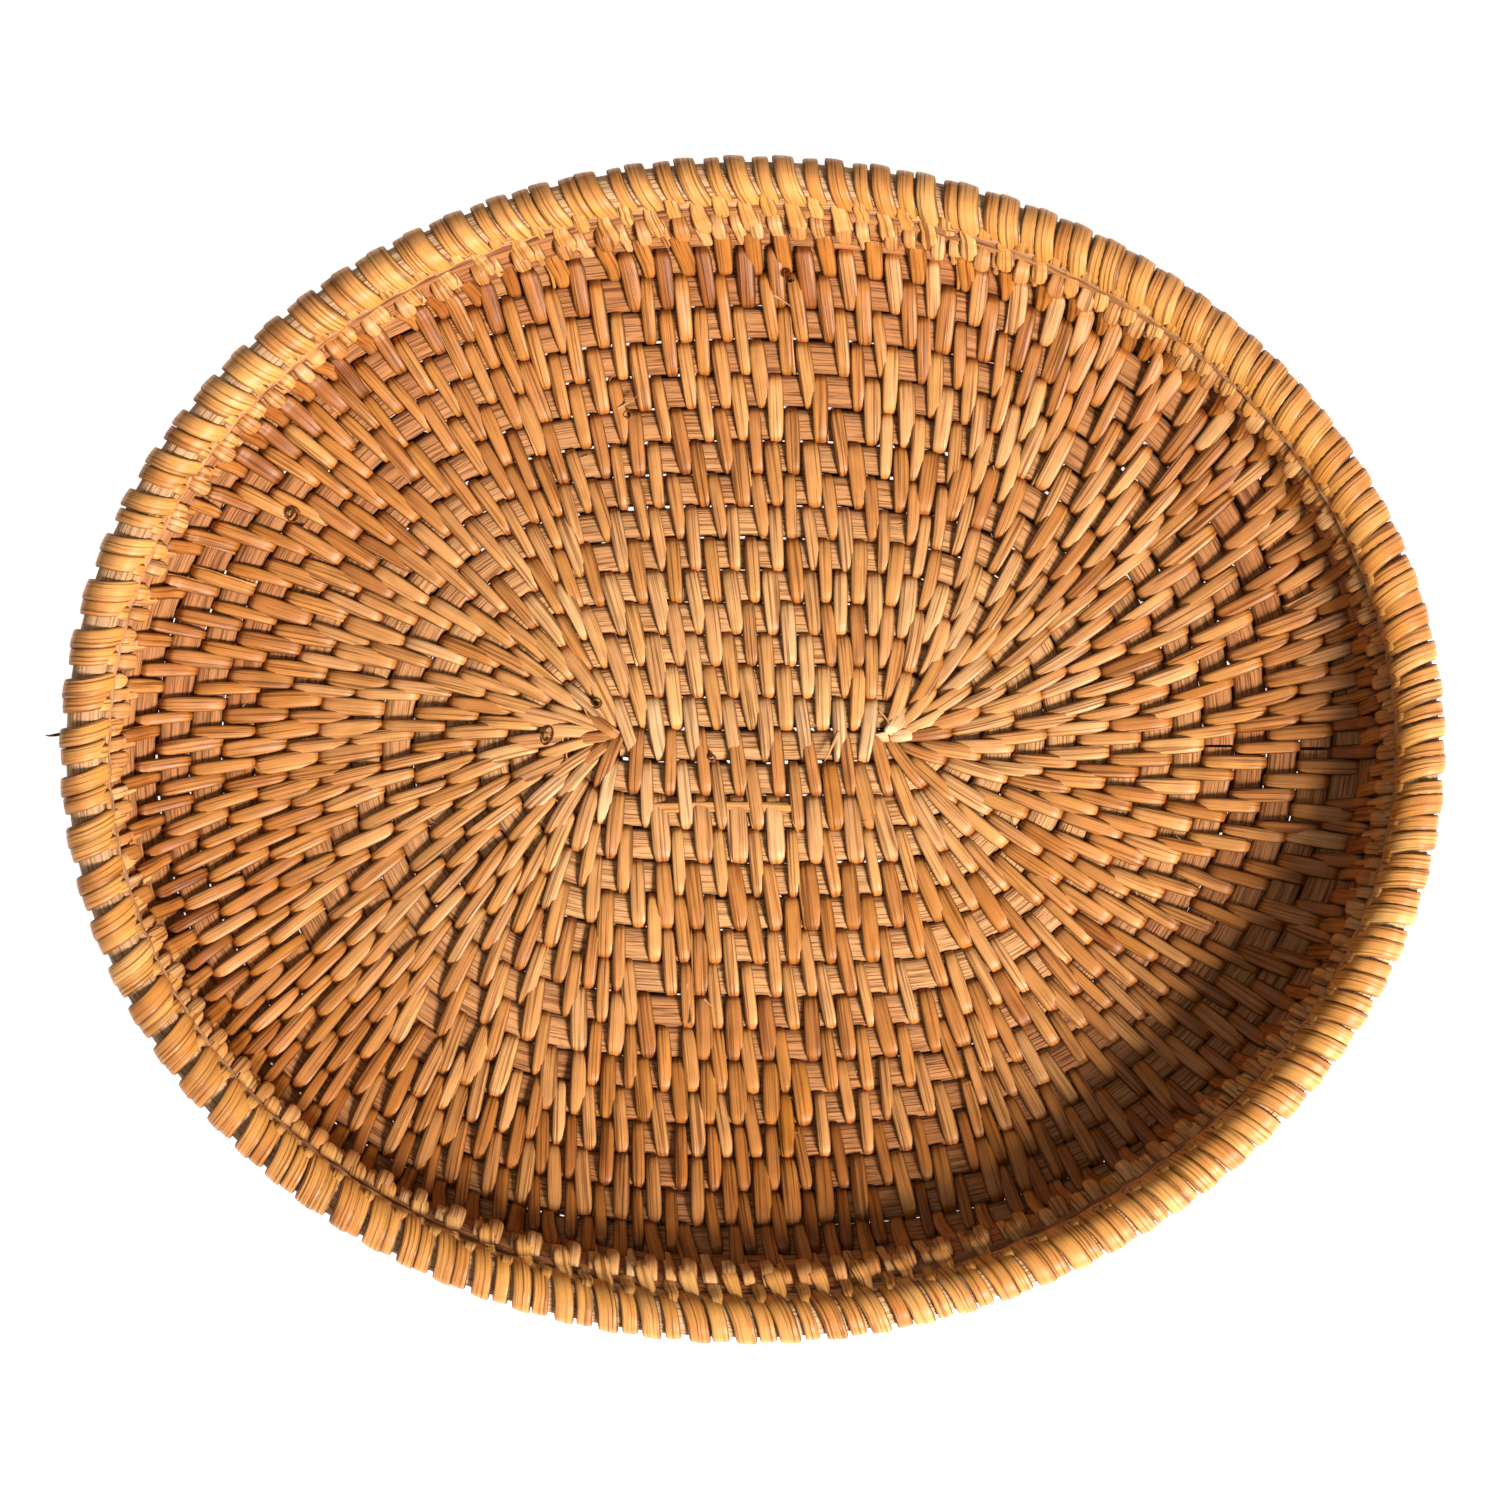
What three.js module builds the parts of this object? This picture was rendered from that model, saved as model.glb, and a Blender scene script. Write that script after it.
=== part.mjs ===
// An oval winnowing basket of coiled rattan, drawn as its separate pieces.
// A cane core runs in one spiral from a straight first row, climbs at the edge into a low wall, and runs out
// under a small lip hoop and a thick rim hoop. Split-cane strips sew each row to the row inside it, and
// more strips wrap the rim. Millimetres; +X is the long way of the oval, +Z is up, and the origin is
// under the middle of the floor.
import * as THREE from "three";

// Rows are counted outwards: 0 is the middle of the first row, 16 the last wall row, 17 the lip, 18 the rim.
const FIRST_ROW_HALF = 33.1;
const PITCH_TO_ENDS = 7.72;
const PITCH_TO_FLANKS = 8;
const MIDDLE_SHIFT = 3.2;
const FLAT_ROWS = 8;
const FLOOR_ROWS = 15;
const LAST_ROW = 16;
const LIP_ROW = 17;
const RIM_ROW = 18;

// The edge, row by row: half length, half width, length of the straight part's half, how square the
// corners are, and how far the row's middle lies above the floor rows at the two ends and at the flanks.
const EDGE = [
  { long: 148.9, wide: 120, straight: 33.1, corner: 3, ends: 9.5, flanks: 14.5 },
  { long: 152.6, wide: 125, straight: 31, corner: 2, ends: 16.2, flanks: 19.8 },
  { long: 155, wide: 127.6, straight: 27, corner: 1, ends: 23.2, flanks: 25.6 },
  { long: 159.3, wide: 135.9, straight: 23.4, corner: 0.5, ends: 31, flanks: 30.5 },
];
const MIDDLE_CORNER = 6;
const LEAST_CORNER = 0.3;
const FLAT_SPOT = 2;
const FLAT_SPOT_ROW = 9;
const FLAT_SPOT_ANGLE = -Math.PI / 4;

// Cross-sections. A core is drawn out to the outside of the strips that are wound over it.
const CORE_WIDTH = 6.3;
const CORE_HEIGHT = 6.6;
const WALL_CORE_WIDTH = 5;
const WALL_CORE_HEIGHT = 5.2;
const ROW_SPACE = 1.5;
const START_TAPER = 0.62;
const LIP_SIZE = 4.6;
const RIM_WIDTH = 9;
const RIM_HEIGHT = 7.6;
const RIM_STRIP = 0.9;
const GAP = 0.3;
const SEAM_THICKNESS = 0.6;
const SEAM_HEIGHT = 4;
const LIP_SEAM_THICKNESS = 0.4;
const FILLER_WIDTH = 0.9;
const FILLER_HEIGHT = 2.4;
const FILLER_DROP = 1.5;
const INLAY_WIDTH = 3;
const INLAY_THICKNESS = 0.8;

// How the coil starts and ends, in turns, and how it is made up from lengths of cane and strip.
const COIL_START = -0.305;
const SEAM_START = 0.15;
const STEP_TURN = 0.2;
const SPIRAL_RINGS = 6;
const LEAST_ROOM = 0.3;
const STEPS_PER_TURN = 32;
const RIM_STEPS = 48;
const CANE_ENDS = [COIL_START, 6, 10, 13, 15];
const BINDER_STRIPS = 24;
const LIP_STRIPS = 4;
const RIM_STRIPS = 6;

const core = new THREE.MeshStandardMaterial({ color: 0xb58658, roughness: 0.75, metalness: 0 });
const binder = new THREE.MeshStandardMaterial({ color: 0xcf9a58, roughness: 0.5, metalness: 0 });
const rim = new THREE.MeshStandardMaterial({ color: 0xd8a04f, roughness: 0.45, metalness: 0 });

const basket = new THREE.Group();

function add(name, geometry, material) {
  const mesh = new THREE.Mesh(geometry, material);
  mesh.name = name;
  basket.add(mesh);
}

// The oval of one row: its sizes, worked out for any row number, whole or not.
function ovalOf(row) {
  if (row <= FLOOR_ROWS) {
    const climb = Math.max(0, (row - FLAT_ROWS) / (FLOOR_ROWS - FLAT_ROWS)) ** 2;
    return {
      long: FIRST_ROW_HALF + PITCH_TO_ENDS * row,
      wide: PITCH_TO_FLANKS * row,
      straight: FIRST_ROW_HALF,
      corner: THREE.MathUtils.lerp(MIDDLE_CORNER, EDGE[0].corner, Math.max(0, row) / FLOOR_ROWS),
      ends: EDGE[0].ends * climb,
      flanks: EDGE[0].flanks * climb,
    };
  }
  const step = Math.min(RIM_ROW - FLOOR_ROWS - 1, Math.floor(row - FLOOR_ROWS));
  const part = row - FLOOR_ROWS - step;
  const oval = {};
  for (const key of Object.keys(EDGE[0])) {
    oval[key] = THREE.MathUtils.lerp(EDGE[step][key], EDGE[step + 1][key], part);
  }
  return oval;
}

// The middle of a row at a turn, counted anticlockwise from the right-hand end.
function place(row, turn) {
  const angle = turn * 2 * Math.PI;
  const oval = ovalOf(row);
  const square = Math.max(LEAST_CORNER, oval.corner);
  const along = Math.tanh(square * Math.cos(angle)) / Math.tanh(square);
  const flank = Math.sin(angle) ** 10;
  const pressed = Math.max(0, Math.cos(angle - FLAT_SPOT_ANGLE)) ** 8;
  const inset = FLAT_SPOT * pressed * THREE.MathUtils.clamp((row - FLAT_SPOT_ROW) / (LIP_ROW - FLAT_SPOT_ROW), 0, 1);
  return new THREE.Vector3(
    oval.straight * along + (oval.long - oval.straight - inset) * Math.cos(angle),
    (oval.wide - inset) * Math.sin(angle) + MIDDLE_SHIFT * Math.max(0, 1 - row / FLOOR_ROWS),
    CORE_HEIGHT / 2 + THREE.MathUtils.lerp(oval.ends, oval.flanks, flank),
  );
}

// Which row the spiral is on at a turn. Near the middle it grows evenly. Further out each turn is nearly
// a closed ring, and it steps out to the next one beside the right-hand end.
function spiralRow(turn) {
  const ring = Math.floor(turn) + 1;
  const past = turn - Math.floor(turn) - 0.5;
  const late = Math.max(0, (Math.abs(past) - 0.5 + STEP_TURN) / STEP_TURN);
  const stepped = Math.sign(past) * 0.5 * late ** 2;
  const ringed = THREE.MathUtils.smoothstep(ring, SPIRAL_RINGS, FLOOR_ROWS);
  return ring + THREE.MathUtils.lerp(past, stepped, ringed);
}

// The room between the row inside and the lip, in rows: it closes where the last turn runs out.
function roomAt(turn) {
  return turn < FLOOR_ROWS ? 1 : Math.min(1, LAST_ROW - spiralRow(turn - 1));
}

function coilRow(turn) {
  return turn < FLOOR_ROWS ? spiralRow(turn) : spiralRow(turn - 1) + 0.5 + roomAt(turn) / 2;
}

function seamRow(turn) {
  const inside = spiralRow(turn - 1) + 0.5;
  return turn < FLOOR_ROWS ? (inside + spiralRow(turn) - 0.5) / 2 : inside;
}

// The middle, the way out across the rows and the upper face's normal, where a row passes.
function frameAt(rowAt, turn, level) {
  const row = rowAt(turn);
  const middle = place(row, turn);
  const ahead = place(rowAt(turn + 0.002), turn + 0.002).sub(place(rowAt(turn - 0.002), turn - 0.002));
  ahead.normalize();
  const out = place(row + 1, turn).sub(place(row - 1, turn));
  if (level) {
    out.z = 0;
  }
  out.addScaledVector(ahead, -out.dot(ahead)).normalize();
  const up = new THREE.Vector3().crossVectors(out, ahead);
  return { middle, out, up };
}

// A solid swept through cross-sections given as [across, up] pairs, anticlockwise as seen looking back
// along the row. An inner outline of the same count makes it a tube, and a ring needs no ends.
function sweep(frames, outlines, closed, bore) {
  const points = [];
  const faces = [];
  const sides = outlines[0].length;
  const layers = bore ? [outlines, bore] : [outlines];
  for (const layer of layers) {
    frames.forEach((frame, index) => {
      for (const [across, rise] of layer[index]) {
        const point = frame.middle.clone().addScaledVector(frame.out, across).addScaledVector(frame.up, rise);
        points.push(point.x, point.y, point.z);
      }
    });
  }
  const quad = (a, b, c, d) => faces.push(a, b, c, a, c, d);
  const count = frames.length;
  const inner = count * sides;
  const steps = closed ? count : count - 1;
  for (let step = 0; step < steps; step += 1) {
    const here = step * sides;
    const next = ((step + 1) % count) * sides;
    for (let side = 0; side < sides; side += 1) {
      const beside = (side + 1) % sides;
      quad(here + side, next + side, next + beside, here + beside);
      if (bore) {
        quad(inner + here + side, inner + here + beside, inner + next + beside, inner + next + side);
      }
    }
  }
  if (!closed) {
    const last = (count - 1) * sides;
    for (let side = 0; side < sides; side += 1) {
      const beside = (side + 1) % sides;
      if (bore) {
        quad(side, beside, inner + beside, inner + side);
        quad(last + side, inner + last + side, inner + last + beside, last + beside);
      } else if (side > 0 && side < sides - 1) {
        faces.push(0, side, side + 1);
        faces.push(last, last + side + 1, last + side);
      }
    }
  }
  const geometry = new THREE.BufferGeometry();
  geometry.setAttribute("position", new THREE.Float32BufferAttribute(points, 3));
  geometry.setIndex(faces);
  geometry.computeVertexNormals();
  return geometry;
}

function hexagon(width, height) {
  const shoulder = 0.35 * width;
  return [
    [width / 2, 0],
    [shoulder, height / 2],
    [-shoulder, height / 2],
    [-width / 2, 0],
    [-shoulder, -height / 2],
    [shoulder, -height / 2],
  ];
}

function rectangle(width, height) {
  return [
    [width / 2, height / 2],
    [-width / 2, height / 2],
    [-width / 2, -height / 2],
    [width / 2, -height / 2],
  ];
}

function octagon(width, height) {
  const flat = 0.28;
  return [
    [width / 2, flat * height],
    [flat * width, height / 2],
    [-flat * width, height / 2],
    [-width / 2, flat * height],
    [-width / 2, -flat * height],
    [-flat * width, -height / 2],
    [flat * width, -height / 2],
    [width / 2, -flat * height],
  ];
}

// The turns at which a stretch is drawn: its two ends, each half a gap short, and the even steps between.
function stretch(from, to, rowAt, steps) {
  const speed = place(rowAt(from + 0.01), from + 0.01).distanceTo(place(rowAt(from), from)) / 0.01;
  const short = GAP / speed;
  const turns = [from + short];
  for (let step = Math.floor(from * steps) + 1; step / steps < to - short; step += 1) {
    if (step / steps > from + 3 * short) {
      turns.push(step / steps);
    }
  }
  if (to - short - turns.at(-1) < 2 * short) {
    turns.pop();
  }
  turns.push(to - short);
  return turns;
}

function turnWhereRoomIs(least) {
  let turn = LAST_ROW;
  while (roomAt(turn) > least) {
    turn += 0.005;
  }
  return turn;
}

function buildCoil() {
  const coilEnd = turnWhereRoomIs(LEAST_ROOM);
  const ends = [...CANE_ENDS, coilEnd];
  for (let cane = 0; cane < ends.length - 1; cane += 1) {
    const turns = stretch(ends[cane], ends[cane + 1], coilRow, STEPS_PER_TURN);
    const frames = turns.map((turn) => frameAt(coilRow, turn));
    const outlines = turns.map((turn) => {
      const start = THREE.MathUtils.clamp((turn - COIL_START) / 0.8, 0, 1);
      const room = roomAt(turn);
      const wall = THREE.MathUtils.smoothstep(coilRow(turn), FLOOR_ROWS - 2, FLOOR_ROWS);
      const full = THREE.MathUtils.lerp(CORE_WIDTH, WALL_CORE_WIDTH, wall);
      const height = THREE.MathUtils.lerp(CORE_HEIGHT, WALL_CORE_HEIGHT, wall);
      const width = THREE.MathUtils.lerp(START_TAPER, 1, start) * (room * (full + ROW_SPACE) - ROW_SPACE);
      return hexagon(width, height * (0.35 + 0.65 * room));
    });
    add(`core_cane_${cane + 1}`, sweep(frames, outlines, false), core);
  }
  return coilEnd;
}

// The strips that sew the rows, each joined up into one thin band between two rows.
function buildBinders(coilEnd) {
  const marks = [];
  let length = 0;
  const fine = 0.01;
  for (let turn = SEAM_START; turn < coilEnd; turn += fine) {
    marks.push({ turn, length });
    length += place(seamRow(turn + fine), turn + fine).distanceTo(place(seamRow(turn), turn));
  }
  const onStep = (turn) => Math.round(turn * STEPS_PER_TURN) / STEPS_PER_TURN;
  const turnAt = (share) => onStep(marks.find((mark) => mark.length >= share * length)?.turn ?? coilEnd);
  for (let strip = 0; strip < BINDER_STRIPS; strip += 1) {
    const from = turnAt(strip / BINDER_STRIPS);
    const to = turnAt((strip + 1) / BINDER_STRIPS);
    const turns = stretch(from, to, seamRow, STEPS_PER_TURN);
    const frames = turns.map((turn) => frameAt(seamRow, turn));
    const outlines = turns.map(() => rectangle(SEAM_THICKNESS, SEAM_HEIGHT));
    add(`binder_strip_${String(strip + 1).padStart(2, "0")}`, sweep(frames, outlines, false), binder);
  }
}

// The lip: a thin hoop on the wall's top row, and the strips that lash it there.
function buildLip() {
  const turns = Array.from({ length: STEPS_PER_TURN }, (_, step) => step / STEPS_PER_TURN);
  const frames = turns.map((turn) => frameAt(() => LIP_ROW, turn));
  add("lip_core", sweep(frames, turns.map(() => hexagon(LIP_SIZE, LIP_SIZE)), true), core);
  const seam = () => LIP_ROW - 0.5;
  for (let strip = 0; strip < LIP_STRIPS; strip += 1) {
    const along = stretch(strip / LIP_STRIPS, (strip + 1) / LIP_STRIPS, seam, STEPS_PER_TURN);
    const bands = along.map((turn) => frameAt(seam, turn));
    const outlines = along.map(() => rectangle(LIP_SEAM_THICKNESS, SEAM_HEIGHT / 2));
    add(`lip_binder_${strip + 1}`, sweep(bands, outlines, false), binder);
  }
}

// The rim: a thick hoop, the strips wound round it, and the flat strip that fills its inner groove.
function buildRim() {
  const onRim = () => RIM_ROW;
  const turns = Array.from({ length: RIM_STEPS }, (_, step) => step / RIM_STEPS);
  const frames = turns.map((turn) => frameAt(onRim, turn, true));
  add("rim_core", sweep(frames, turns.map(() => octagon(RIM_WIDTH, RIM_HEIGHT)), true), core);
  const inside = 2 * GAP;
  const outside = inside + 2 * RIM_STRIP;
  for (let strip = 0; strip < RIM_STRIPS; strip += 1) {
    const along = stretch(strip / RIM_STRIPS, (strip + 1) / RIM_STRIPS, onRim, RIM_STEPS);
    const winds = along.map((turn) => frameAt(onRim, turn, true));
    const outer = along.map(() => octagon(RIM_WIDTH + outside, RIM_HEIGHT + outside));
    const inner = along.map(() => octagon(RIM_WIDTH + inside, RIM_HEIGHT + inside));
    add(`rim_binder_${strip + 1}`, sweep(winds, outer, false, inner), rim);
  }
  const reach = -(RIM_WIDTH + outside + FILLER_WIDTH) / 2 - GAP;
  const filler = rectangle(FILLER_WIDTH, FILLER_HEIGHT).map(([across, rise]) => [across + reach, rise - FILLER_DROP]);
  add("rim_filler_strip", sweep(frames, turns.map(() => filler), true), rim);
}

// A short flat strip laid along the row below the first one, over the core.
function buildInlay() {
  const length = 36;
  const solid = new THREE.BoxGeometry(length, INLAY_WIDTH, INLAY_THICKNESS);
  solid.translate(-7, place(2.25, 0.75).y + 1.4, CORE_HEIGHT + GAP + INLAY_THICKNESS / 2);
  add("inlay_strip", solid, binder);
}

const coilEnd = buildCoil();
buildBinders(coilEnd);
buildLip();
buildRim();
buildInlay();

export default basket;
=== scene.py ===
import math
import random

import bpy
import numpy as np
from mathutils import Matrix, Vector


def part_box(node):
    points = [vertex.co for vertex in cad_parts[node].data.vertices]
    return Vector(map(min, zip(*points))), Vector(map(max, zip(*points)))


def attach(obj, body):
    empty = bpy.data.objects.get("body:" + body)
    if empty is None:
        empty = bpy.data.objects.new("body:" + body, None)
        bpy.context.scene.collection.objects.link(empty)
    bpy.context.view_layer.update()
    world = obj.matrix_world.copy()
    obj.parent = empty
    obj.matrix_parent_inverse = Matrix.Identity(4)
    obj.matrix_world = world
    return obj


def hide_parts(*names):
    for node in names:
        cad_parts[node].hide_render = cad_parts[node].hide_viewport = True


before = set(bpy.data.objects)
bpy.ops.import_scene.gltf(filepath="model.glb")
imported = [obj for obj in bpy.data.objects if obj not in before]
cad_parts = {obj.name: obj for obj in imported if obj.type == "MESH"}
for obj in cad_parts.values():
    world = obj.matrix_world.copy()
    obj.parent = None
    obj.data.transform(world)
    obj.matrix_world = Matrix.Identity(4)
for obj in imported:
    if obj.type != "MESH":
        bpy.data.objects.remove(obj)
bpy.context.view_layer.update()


class Wire:
    """A node's output that can be used in a sum. A sum adds Math nodes to its tree."""

    def __init__(self, tree, socket):
        self.tree = tree
        self.socket = socket

    def add(self, kind, settings, sockets, out=0):
        """A new node in the same tree: its settings first, then its sockets' values or links."""
        return add_node(self.tree, kind, settings, sockets, out)

    def other(self, out):
        """Another output of the same node."""
        return Wire(self.tree, self.socket.node.outputs[out])

    def maths(self, operation, *values):
        return self.add("ShaderNodeMath", {"operation": operation}, dict(enumerate(values)))

    def __add__(self, value):
        return self.maths("ADD", self, value)

    __radd__ = __add__

    def __mul__(self, value):
        return self.maths("MULTIPLY", self, value)

    __rmul__ = __mul__

    def __rsub__(self, value):
        return self.maths("SUBTRACT", value, self)

    def __pow__(self, value):
        return self.maths("POWER", self, value)


def add_node(tree, kind, settings, sockets, out=0):
    """Adds one node to a tree and gives back one of its outputs."""
    node = tree.nodes.new(kind)
    for name, value in settings.items():
        if name == "stops":
            ramp = node.color_ramp
            while len(ramp.elements) < len(value):
                ramp.elements.new(1.0)
            for stop, (place_on_ramp, colour) in zip(ramp.elements, value):
                stop.position = place_on_ramp
                stop.color = (*colour, 1.0)
        else:
            setattr(node, name, value)
    for name, value in sockets.items():
        if isinstance(value, Wire):
            tree.links.new(value.socket, node.inputs[name])
        else:
            node.inputs[name].default_value = value
    return Wire(tree, node.outputs[out]) if len(node.outputs) else None


def new_material(name):
    """An empty material with no nodes, ready for a shader and its output node."""
    material = bpy.data.materials.new(name)
    material.use_nodes = True
    material.node_tree.nodes.clear()
    return material


TABLE_SIZE = 6.0
TABLE_WHITE = (0.93, 0.93, 0.925, 1.0)
TABLE_GLOW = 0.95
TABLE_DROP = 0.0004
corners = [(-1, -1), (1, -1), (1, 1), (-1, 1)]
corners = [(x * TABLE_SIZE / 2, y * TABLE_SIZE / 2, -TABLE_DROP) for x, y in corners]
table_mesh = bpy.data.meshes.new("table_top")
table_mesh.from_pydata(corners, [], [(0, 1, 2, 3)])
table_top = bpy.data.objects.new("table_top", table_mesh)
bpy.context.scene.collection.objects.link(table_top)
table_white = new_material("table white")
tree = table_white.node_tree
mottle = add_node(tree, "ShaderNodeTexNoise", {}, {"Scale": 3.0, "Detail": 2.0})
paint = mottle.add(
    "ShaderNodeBsdfPrincipled", {},
    {"Base Color": TABLE_WHITE, "Roughness": mottle * 0.1 + 0.75,
     "Emission Color": TABLE_WHITE, "Emission Strength": TABLE_GLOW})
paint.add("ShaderNodeOutputMaterial", {}, {"Surface": paint})
table_mesh.materials.append(table_white)

world = bpy.data.worlds.new("white room")
bpy.context.scene.world = world
world.use_nodes = True
world.node_tree.nodes["Background"].inputs["Color"].default_value = (1.0, 0.985, 0.96, 1.0)
world.node_tree.nodes["Background"].inputs["Strength"].default_value = 0.06


def lamp(name, turn, height, distance, size, power, colour):
    """A square studio lamp that faces the middle of the tray."""
    light = bpy.data.lights.new(name, "AREA")
    light.size = size
    light.energy = power
    light.color = colour
    stand = bpy.data.objects.new(name, light)
    flat = distance * math.cos(math.radians(height))
    stand.location = (
        flat * math.cos(math.radians(turn)),
        flat * math.sin(math.radians(turn)),
        distance * math.sin(math.radians(height)),
    )
    stand.rotation_euler = (-stand.location).to_track_quat("-Z", "Y").to_euler()
    bpy.context.scene.collection.objects.link(stand)


lamp("key_lamp", -47, 38.5, 1.6, 0.42, 48, (1.0, 0.95, 0.88))
lamp("top_lamp", 150, 70, 2.0, 1.2, 4.5, (1.0, 0.97, 0.92))

LENS = 110
LENS_HEIGHT = 1.1267
lens = bpy.data.cameras.new("overhead")
lens.lens = LENS
lens.sensor_width = 36
lens.clip_start = 0.1
lens.clip_end = 20
overhead = bpy.data.objects.new("overhead", lens)
overhead.location = (-0.0007, 0, LENS_HEIGHT)
bpy.context.scene.collection.objects.link(overhead)
bpy.context.scene.camera = overhead
bpy.context.scene.view_settings.view_transform = "Standard"

# The coil of core cane. Peeled rattan, split to a flat-topped bar and wound as one flat
# oval spiral from the middle out. The outer rows bend upward to make the wall. Five lengths
# are laid end to end, and each is shaved thin at its ends.
MM = 0.001
FIRST_ROW_HALF = 33.1 * MM
ROW_TO_ENDS = 7.72 * MM
ROW_TO_FLANKS = 8.0 * MM
MIDDLE_SHIFT = 3.2 * MM
CORE_MIDDLE = 3.3 * MM
FLAT_ROWS = 8
FLOOR_ROWS = 15
COIL_START = -0.305
LOWEST_POINT = 0.04 * MM
COIL_END = 16.0


def eased(low, high, value):
    """0 below low, 1 above high, and smooth between."""
    part = np.clip((value - low) / (high - low), 0, 1)
    return part * part * (3 - 2 * part)


def oval(row):
    """The oval of a row: half length, half width, straight half, corner, rise at ends and flanks."""
    row = np.asarray(row, float)
    climb = np.maximum(0, (row - FLAT_ROWS) / (FLOOR_ROWS - FLAT_ROWS)) ** 2
    floor_row = [
        FIRST_ROW_HALF + ROW_TO_ENDS * row,
        ROW_TO_FLANKS * row,
        FIRST_ROW_HALF + 0 * row,
        6 - 3 * np.maximum(0, row) / FLOOR_ROWS,
        9.5 * MM * climb,
        14.5 * MM * climb,
    ]
    wall = (
        (148.9, 152.6, 155, 159.3),
        (120, 125, 127.6, 135.9),
        (33.1, 31, 27, 23.4),
        (3, 2, 1, 0.5),
        (9.5, 16.2, 23.2, 31),
        (14.5, 19.8, 25.6, 30.5),
    )
    step = np.clip(np.floor(row - 15), 0, 2).astype(int)
    part = row - 15 - step
    shape = []
    for number, (low_row, steps) in enumerate(zip(floor_row, wall)):
        steps = np.array(steps) * (1 if number == 3 else MM)
        shape.append(np.where(row <= 15, low_row, steps[step] + (steps[step + 1] - steps[step]) * part))
    return shape


def place(row, turn):
    """The point at a row number and a turn, half-way up the cane. Turns start at +X."""
    row, turn = np.broadcast_arrays(np.asarray(row, float), np.asarray(turn, float))
    angle = 2 * math.pi * turn
    long, wide, straight, corner, ends, flanks = oval(row)
    square = np.maximum(0.3, corner)
    along = np.tanh(square * np.cos(angle)) / np.tanh(square)
    pressed = np.maximum(0, np.cos(angle + math.pi / 4)) ** 8
    inset = 2 * MM * pressed * np.clip((row - 9) / 8, 0, 1)
    x = straight * along + (long - straight - inset) * np.cos(angle)
    y = (wide - inset) * np.sin(angle) + MIDDLE_SHIFT * np.maximum(0, 1 - row / FLOOR_ROWS)
    z = CORE_MIDDLE + ends + (flanks - ends) * np.sin(angle) ** 10
    return np.stack([x, y, z], -1)


def spiral_row(turn):
    """The row that the coil has reached. Its outer turns are nearly closed rings."""
    turn = np.asarray(turn, float)
    ring = np.floor(turn) + 1
    past = turn - np.floor(turn) - 0.5
    late = np.maximum(0, (np.abs(past) - 0.3) / 0.2)
    stepped = np.sign(past) * 0.5 * late**2
    return ring + past + (stepped - past) * eased(6, 15, ring)


def room_at(turn):
    """The share of a row's width that is left under the lip for the last turn."""
    return np.where(np.asarray(turn) < 15, 1.0, np.minimum(1, 16 - spiral_row(np.asarray(turn) - 1)))


def coil_row(turn):
    turn = np.asarray(turn, float)
    return np.where(turn < 15, spiral_row(turn), spiral_row(turn - 1) + 0.5 + room_at(turn) / 2)


def seam_row(turn):
    """The gap between a turn of the coil and the turn inside it."""
    turn = np.asarray(turn, float)
    inner = spiral_row(turn - 1)
    return np.where(turn < 15, (inner + spiral_row(turn)) / 2, inner + 0.5)


while float(room_at(COIL_END)) > 0.3:
    COIL_END += 0.005


def unit(vectors):
    return vectors / np.maximum(np.linalg.norm(vectors, axis=-1, keepdims=True), 1e-12)


def frames(row, turn, level=False):
    """Point, direction ahead, direction out and direction up, at rows and turns."""
    row, turn = np.broadcast_arrays(np.asarray(row, float), np.asarray(turn, float))
    point = place(row, turn)
    ahead = unit(place(row, turn + 0.002) - place(row, turn - 0.002))
    out = place(row + 1, turn) - place(row - 1, turn)
    if level:
        out[..., 2] = 0
    out = unit(out - ahead * (out * ahead).sum(-1, keepdims=True))
    return point, ahead, out, np.cross(out, ahead)


def squared(row, turn):
    """The turn that stands square above a floor turn, for places on the wall and the rim."""
    row, turn = np.broadcast_arrays(np.asarray(row, float), np.asarray(turn, float))
    straight_up = turn.copy()
    for _ in range(3):
        here = place(row, straight_up)
        ahead = (place(row, straight_up + 0.001) - place(row, straight_up - 0.001)) / 0.002
        foot = place(np.minimum(row, 15), turn)
        run = unit(place(np.minimum(row, 15), turn + 0.001) - place(np.minimum(row, 15), turn - 0.001))
        slip = ((here - foot) * run).sum(-1) / (ahead * run).sum(-1)
        straight_up = straight_up - np.where(row > 15, slip, 0)
    return straight_up


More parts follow.
